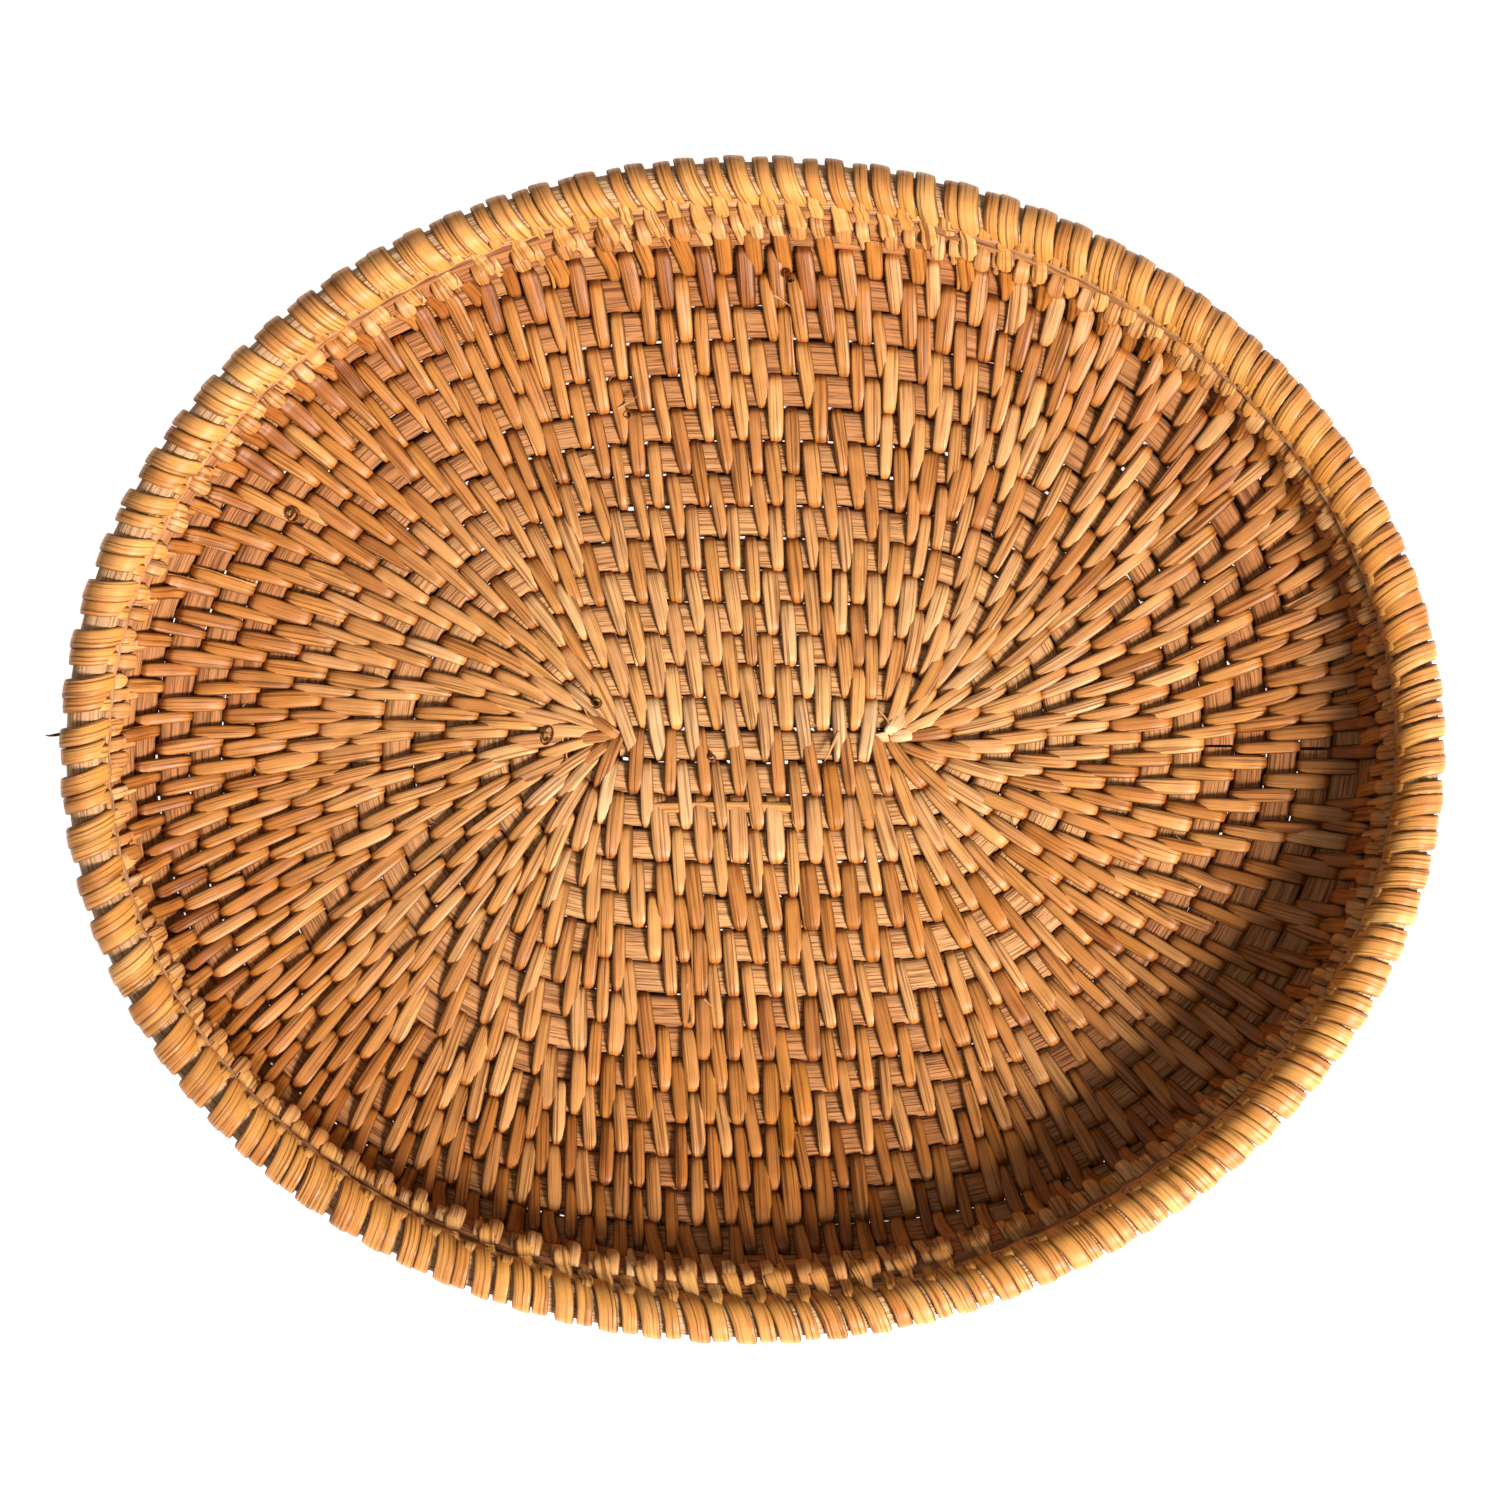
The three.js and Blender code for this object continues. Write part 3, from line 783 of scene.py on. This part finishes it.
stitches = stitch_turns()
strip_tone = 0.6
strip_width = 1.0
strip_left = 0
per_length = math.ceil(len(stitches) / BINDER_LENGTHS)
for number in range(BINDER_LENGTHS):
    mine = stitches[number * per_length:(number + 1) * per_length + 1]
    lists = [[] for _ in range(7)]
    loose = [end for turn, end in LOOSE_ENDS if mine[0] <= turn < mine[-1]]
    for index in range(len(mine) - 1):
        if strip_left <= 0:
            strip_left = dice.randint(6, 26)
            # Painted shade: strips get a darker, warmer mean tone towards the outer rows, where the wall
            # shades them; each strip's tone is also random.
            outer = min(1.0, mine[index] / 15)
            strip_tone = min(0.95, max(0.28, dice.gauss(0.75 - 0.38 * outer**2, 0.12 - 0.04 * outer)))
            strip_amber = dice.choice([0.0, 0.0, 0.05, 0.1, 0.3]) + 0.08 * outer**2
            strip_width = dice.uniform(0.84, 1.16)
            blush = dice.uniform(0.15, 0.85) - 0.3 * outer**2
        strip_left -= 1
        look = {"slant": STITCH_SLANT * dice.uniform(0.3, 1.5)}
        rows, turns, lifts, wides, thicks = stitched(mine[index], mine[index + 1], look)
        wide = strip_width * dice.uniform(0.9, 1.12)
        tone = min(1.0, max(0.05, strip_tone + dice.gauss(0, 0.07)))
        amber = strip_amber + (0.25 if dice.random() < 0.06 else 0)
        middle = place(mine[index], mine[index] - 0.002) / MM
        if -12 < middle[0] < 27 and -18 < middle[1] < -9:
            amber = dice.uniform(0.6, 0.9)
        if math.hypot(middle[0] - 8, middle[1] + 92) < 4.5:
            amber = 1.0
        roll = dice.gauss(0, 0.09)
        lists[0] += rows
        lists[1] += turns
        lists[2] += [lift + (dice.uniform(-0.08, 0.1) * MM if lift > 0.002 else 0) for lift in lifts]
        crowded = max(0.0, 1 - mine[index] / 4) * 0.28 * abs(math.cos(2 * math.pi * mine[index]))
        inner = [min(1.0, (mine[index] + 0.5 - row) / 2.0 + 0.25) for row in rows]
        lists[3] += [w * wide * (1 - crowded * share) for w, share in zip(wides, inner)]
        lists[4] += thicks
        lists[5] += [roll if lift > 0.0015 else 0.0 for lift in lifts]
        # Painted shade: where a stitch goes down into a seam between rows, its tone is lowered by 0.3.
        lists[6] += [(tone - (0.3 if -0.0022 < lift < 0.0022 else 0), amber, blush) for lift in lifts]
        if dice.random() < 0.06:
            side = dice.choice([-1, 1])
            shifts = [side * (1.5 + 0.9 * share) * wide * MM for share in np.linspace(0, 1, 13) ** 2]
            beside = [turn_of(run_of(t) + shift) for t, shift in zip(turns, shifts)]
            loose.append(strip_path(
                rows[:13], beside, [lift - 0.1 * MM for lift in lifts[:13]],
                [0.28 * w for w in wides[:13]], [0.6] * 13, [0.0] * 13, [(tone + 0.1, amber, blush)] * 13))
    path = strip_path(*lists)
    for order, part in enumerate([path] + loose):
        part["start"] = number * 1.7 + order * 0.13
    strip = swept(
        "binder_length_%02d" % (number + 1), [path] + loose, BINDER_SKIN, 10, squareness=0.66, belly=0.45)
    fastened(strip, "binder_cane", "binder_strip_%02d" % (number + 1))

# The lip cane and its lashings. A flat split cane stands on the wall's last row, closes the
# space up to the rim and is sewn down. Short tongues of binder come over it from the rim.
LIP_HALF_HEIGHT = 2.3 * MM
LIP_HALF_WIDTH = 4.6 * MM
RING_STEPS = 400
ring_turns = np.arange(RING_STEPS) / RING_STEPS
point, ahead, out, up = frames(17, ring_turns)
# Painted shade: the lip cane is given a low tone, dark as it lies in shade under the rim.
shade = np.clip(0.25 + 0.1 * wander(RING_STEPS, 5, 20), 0, 1)
ring_path = {
    "points": point + out * 0.6 * MM,
    "across": out * LIP_HALF_WIDTH,
    "rise": up * LIP_HALF_HEIGHT,
    "tone": np.stack([shade, shade, shade], -1),
    "start": 17.0,
    "closed": True,
}
lip_cane = swept("lip_cane", [ring_path], CORE_CANE, 12, squareness=0.7)
fastened(lip_cane, "core_cane", "lip_core")


def laid(points, turn, offset, wide, tone, half_width, half_height, roll=0.0):
    """A strip past points given as row, distance out, height, turn shift, width and thickness."""
    rows = np.array([p[0] for p in points], float)
    outs = np.array([p[1] for p in points]) * MM
    ups = np.array([p[2] for p in points]) * MM
    turns = np.array([turn_of(run_of(turn + 15) + (p[3] + offset) * MM) - 15 for p in points])
    point, ahead, out, up = frames(rows, squared(rows, turns), True)
    point = point + out * outs[:, None] + np.array([0, 0, 1.0]) * ups[:, None]
    wides = [p[4] * wide for p in points]
    thicks = [p[5] for p in points]
    # On the rim the wraps are painted lighter and more golden on their inner side: partly the skin's own
    # colour, partly painted light where the light falls on that side.
    inward = [float(eased(-2.0, 1.4, -p[1])) if p[0] == 18 else 0.7 for p in points]
    tones = [(tone[0] - 0.08 + 0.2 * share, tone[1] * share, 0.9 - 0.7 * share) for share in inward]
    return strip_on(point, ahead, wides, thicks, [roll] * len(points), tones, half_width, half_height)


last_ring = [t - 15 for t in stitches if t >= COIL_END - 1]
last_ring = [turn_of(run_of(t + 15) + 3.1 * MM) - 15 for t in last_ring]
last_ring = sorted(turn % 1 for turn in last_ring)


def evened(ring, rounds):
    """The same places round the ring, with their spacing evened out a little each round."""
    spots = [run_of(turn + 15) for turn in ring]
    whole = run_of(16) - run_of(15)
    for _ in range(rounds):
        before = [spots[-1] - whole] + spots[:-1]
        after = spots[1:] + [spots[0] + whole]
        spots = [0.5 * spot + 0.25 * (low + high) for spot, low, high in zip(spots, before, after)]
    return [(turn_of(spot) - 15) % 1 for spot in spots]


last_ring = evened(last_ring, 4)
LIP_STITCH = (
    (17, 2.4, -2.6, 0.3, 0.8, 0.7),
    (17, 2.7, 0.2, 0.2, 0.85, 0.9),
    (17, 1.4, 2.4, 0, 0.95, 1),
    (17, -0.6, 3.1, -0.3, 1, 1),
    (17, -2.4, 2.3, -0.7, 1, 1),
    (17, -3.1, 0.4, -1.0, 0.95, 1),
    (16, -1.4, 2.8, -1.4, 0.9, 0.9),
    (16, -2.6, 1.6, -1.8, 0.85, 0.8),
    (16, -3.0, -0.2, -2.0, 0.8, 0.7),
)
TONGUE = (
    (17, 2.0, 2.3, 0.5, 0.8, 0.8),
    (17, 0.6, 3.3, 0.4, 0.86, 1),
    (17, -1.0, 3.6, 0.2, 0.94, 1),
    (17, -2.5, 3.1, 0.0, 1.04, 1),
    (17, -3.7, 2.1, -0.2, 1.08, 1),
    (17, -4.5, 0.9, -0.4, 1.0, 1),
    (17, -4.9, -0.1, -0.5, 0.72, 0.9),
    (17, -4.9, -0.7, -0.5, 0.35, 0.7),
)
for number in range(4):
    paths = []
    for turn in last_ring:
        if int(turn % 1 * 4) != number:
            continue
        tone = (min(1, max(0, dice.gauss(0.66, 0.1))), dice.choice([0, 0, 0.1]), dice.random())
        wide = dice.uniform(0.85, 1.12)
        paths.append(laid(LIP_STITCH, turn, 0, wide, tone, 1.72 * MM, 0.52 * MM, dice.gauss(0, 0.06)))
        warm = (min(1, max(0, dice.gauss(0.68, 0.12))), dice.uniform(0.1, 0.5), dice.random())
        wide = dice.uniform(0.8, 1.1)
        paths.append(laid(TONGUE, turn, 3.1, wide, warm, 1.95 * MM, 0.4 * MM, dice.gauss(0, 0.08)))
    for order, path in enumerate(paths):
        path["start"] = order * 0.37
    lashing = swept("lip_lashing_%d" % (number + 1), paths, BINDER_SKIN, 10, squareness=0.66, belly=0.45)
    fastened(lashing, "binder_cane", "lip_binder_%d" % (number + 1))

# The rim cane. A thick bar of split rattan with a flat top, bent to the oval and scarfed
# where its ends meet. It is left bare under the wraps, and shows pale between them.
RIM_HALF_WIDTH = 4.35 * MM
RIM_HALF_HEIGHT = 3.6 * MM


RIM_CANE = core_finish(
    "pale rim cane",
    [(0.26, 0.085, 0.028), (0.46, 0.19, 0.07)],
    [(0.62, 0.30, 0.13), (0.84, 0.50, 0.26)],
    0.7)
rim_turns = np.arange(480) / 480
point, ahead, out, up = frames(18, rim_turns, True)
shade = np.clip(0.9 + 0.1 * wander(480, 6, 20), 0, 1)
rim_path = {
    "points": point,
    "across": out * RIM_HALF_WIDTH,
    "rise": up * RIM_HALF_HEIGHT,
    "tone": np.stack([shade, shade, shade], -1),
    "start": 19.0,
    "closed": True,
}
rim_cane = swept("rim_cane", [rim_path], RIM_CANE, 16, squareness=0.72)
fastened(rim_cane, "rim_cane", "rim_core")

# The rim wraps. Broad binder strips go slantwise round the rim cane in pairs, a wide raised
# one and a narrower one beside it, with a tongue of each carried down over the lip.
WRAP_WIDE = (
    (18, -4.3, -3.4, -2.6, 0.85, 0.8),
    (18, -1.6, -4.5, -1.2, 0.9, 0.9),
    (18, 2.0, -4.5, -0.1, 0.95, 1),
    (18, 4.4, -3.3, 0.3, 1, 1),
    (18, 5.35, -1.2, 0.45, 1, 1),
    (18, 5.45, 1.0, 0.45, 1, 1),
    (18, 5.0, 2.7, 0.4, 1, 1),
    (18, 4.0, 3.9, 0.25, 1, 1),
    (18, 1.6, 4.65, -0.1, 1, 1),
    (18, 0.5, 4.7, -0.3, 1, 1),
    (18, -1.6, 4.15, -0.9, 1, 1),
    (18, -3.3, 3.15, -1.6, 1, 1),
    (18, -4.7, 1.6, -2.4, 0.98, 1),
    (18, -5.5, -0.4, -3.0, 0.9, 1),
    (18, -5.3, -2.3, -3.3, 0.8, 0.9),
)
WHISKER_TURN = 0.4955
WHISKER = (
    (18, 5.2, 0.8, 0.0, 1.0, 1),
    (18, 7.0, 0.6, 0.3, 0.9, 1),
    (18, 8.3, 0.7, 0.5, 0.6, 0.8),
    (18, 9.3, 0.9, 0.4, 0.2, 0.4),
)
WRAP_NARROW = tuple(
    (row, out * 0.94, up * 0.94, shift * 0.8, wide, thick) for row, out, up, shift, wide, thick in WRAP_WIDE)
TONGUE_NARROW = (
    (18, -2.6, 2.5, 0.7, 0.75, 0.8),
    (18, -4.3, 1.9, 0.4, 0.85, 1),
    (18, -5.5, 1.2, 0.1, 0.95, 1),
    (17, 1.9, 4.6, -0.2, 1.04, 1),
    (17, 0.9, 3.9, -0.5, 1.04, 1),
    (17, 0.2, 3.1, -0.7, 0.8, 0.9),
    (17, -0.1, 2.3, -0.8, 0.45, 0.8),
)
TONGUE_WIDE = (
    (18, -3.8, 0.9, 1.0, 0.7, 0.8),
    (18, -5.5, 0.3, 0.6, 0.82, 1),
    (17, 0.9, 4.2, 0.1, 0.94, 1),
    (17, -0.8, 3.9, -0.4, 1.04, 1),
    (17, -2.2, 3.3, -0.9, 1.08, 1),
    (17, -3.2, 2.2, -1.2, 0.8, 1),
    (17, -3.5, 1.3, -1.3, 0.4, 0.8),
)
WRAP_SKIN = binder_finish(
    "golden rim skin",
    [(0.0, (0.32, 0.085, 0.015)), (0.25, (0.55, 0.19, 0.042)), (0.5, (0.79, 0.315, 0.08)),
     (0.75, (0.93, 0.44, 0.125)), (1.0, (0.99, 0.585, 0.23))],
    0.34)
wrap_ring = evened(sorted(last_ring), 60)
for number in range(6):
    paths = []
    for turn in wrap_ring:
        if int(turn % 1 * 6) != number:
            continue
        tone = (min(1, max(0, dice.gauss(0.62, 0.07))), dice.uniform(0.05, 0.25), dice.random())
        slip = -0.4 + dice.uniform(-0.3, 0.3)
        paths.append(laid(WRAP_WIDE, turn, slip, dice.uniform(0.92, 1.06), tone, 2.42 * MM, 0.5 * MM, 0.05))
        tone = (min(1, max(0, dice.gauss(0.58, 0.07))), dice.uniform(0.05, 0.25), dice.random())
        slip = 3.6 + dice.uniform(-0.3, 0.3)
        wide = dice.uniform(0.88, 1.08)
        paths.append(laid(WRAP_NARROW, turn, slip, wide, tone, 1.92 * MM, 0.44 * MM, -0.05))
        gold = (min(1, max(0, dice.gauss(0.72, 0.07))), dice.uniform(0.2, 0.5), dice.random())
        paths.append(laid(TONGUE_NARROW, turn, 2.7, dice.uniform(0.85, 1.1), gold, 1.75 * MM, 0.4 * MM, 0.0))
        paths.append(laid(TONGUE_WIDE, turn, -2.3, dice.uniform(0.9, 1.1), gold, 2.0 * MM, 0.4 * MM, 0.0))
    if number == int(WHISKER_TURN * 6):
        paths.append(laid(WHISKER, WHISKER_TURN, 0, 1, (0.1, 0.5, 0), 0.4 * MM, 0.3 * MM))
    for order, path in enumerate(paths):
        path["start"] = order * 0.41
    wrap = swept("rim_wrap_%d" % (number + 1), paths, WRAP_SKIN, 12, squareness=0.66, belly=0.45)
    fastened(wrap, "rim_binder_cane", "rim_binder_%d" % (number + 1))

# The filler strip. A thin pale ribbon runs round the inside of the rim, over the narrow
# wraps and under the wide ones, and hides the groove between rim and lip.
point, ahead, out, up = frames(18, rim_turns, True)
weave = np.cos(2 * math.pi * len(last_ring) * rim_turns)
point = point - out * ((5.1 - 0.2 * weave) * MM)[:, None] + up * ((0.3 + 0.3 * weave) * MM)[:, None]
slope = unit(-out * 0.75 + up * 0.66)
# The ribbon's low tone paints it darker than the pale rim cane: painted shade in the groove under the wraps.
filler_path = {
    "points": point,
    "across": unit(np.cross(slope, ahead)) * 1.5 * MM,
    "rise": slope * 0.35 * MM,
    "tone": np.tile([0.3, 0.0, 0.5], (480, 1)),
    "start": 23.0,
    "closed": True,
}
filler = swept("filler_ribbon", [filler_path], RIM_CANE, 8, squareness=0.7)
fastened(filler, "rim_cane", "rim_filler_strip")

# The inlaid strip. A spare end of binder lies flat along the second row in front, slipped
# under the stitches there, where the maker joined in a new length.
inlay_low, inlay_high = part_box("inlay_strip")
INLAY_STEPS = 26
x = np.linspace(inlay_low.x, inlay_high.x, INLAY_STEPS)
y = np.full(INLAY_STEPS, (inlay_low.y + inlay_high.y) / 2) - 0.4 * MM * np.linspace(-1, 1, INLAY_STEPS) ** 2
z = np.full(INLAY_STEPS, 6.35 * MM) + 0.12 * MM * wander(INLAY_STEPS, 91, 5)
point = np.stack([x, y, z], -1)
wide = 1.35 * MM * np.clip(np.linspace(8, 0.4, INLAY_STEPS), 0, 1)
inlay_path = {
    "points": point,
    "across": np.array([0, 1.0, 0.05]) * wide[:, None],
    "rise": np.tile([0, 0, 0.42 * MM], (INLAY_STEPS, 1)),
    "tone": np.tile([0.72, 0.05, 0.3], (INLAY_STEPS, 1)),
    "start": 0.5,
}
inlay = swept("inlaid_strip", [inlay_path], BINDER_SKIN, 10, squareness=0.6, belly=0.6)
fastened(inlay, "binder_cane", "inlay_strip")
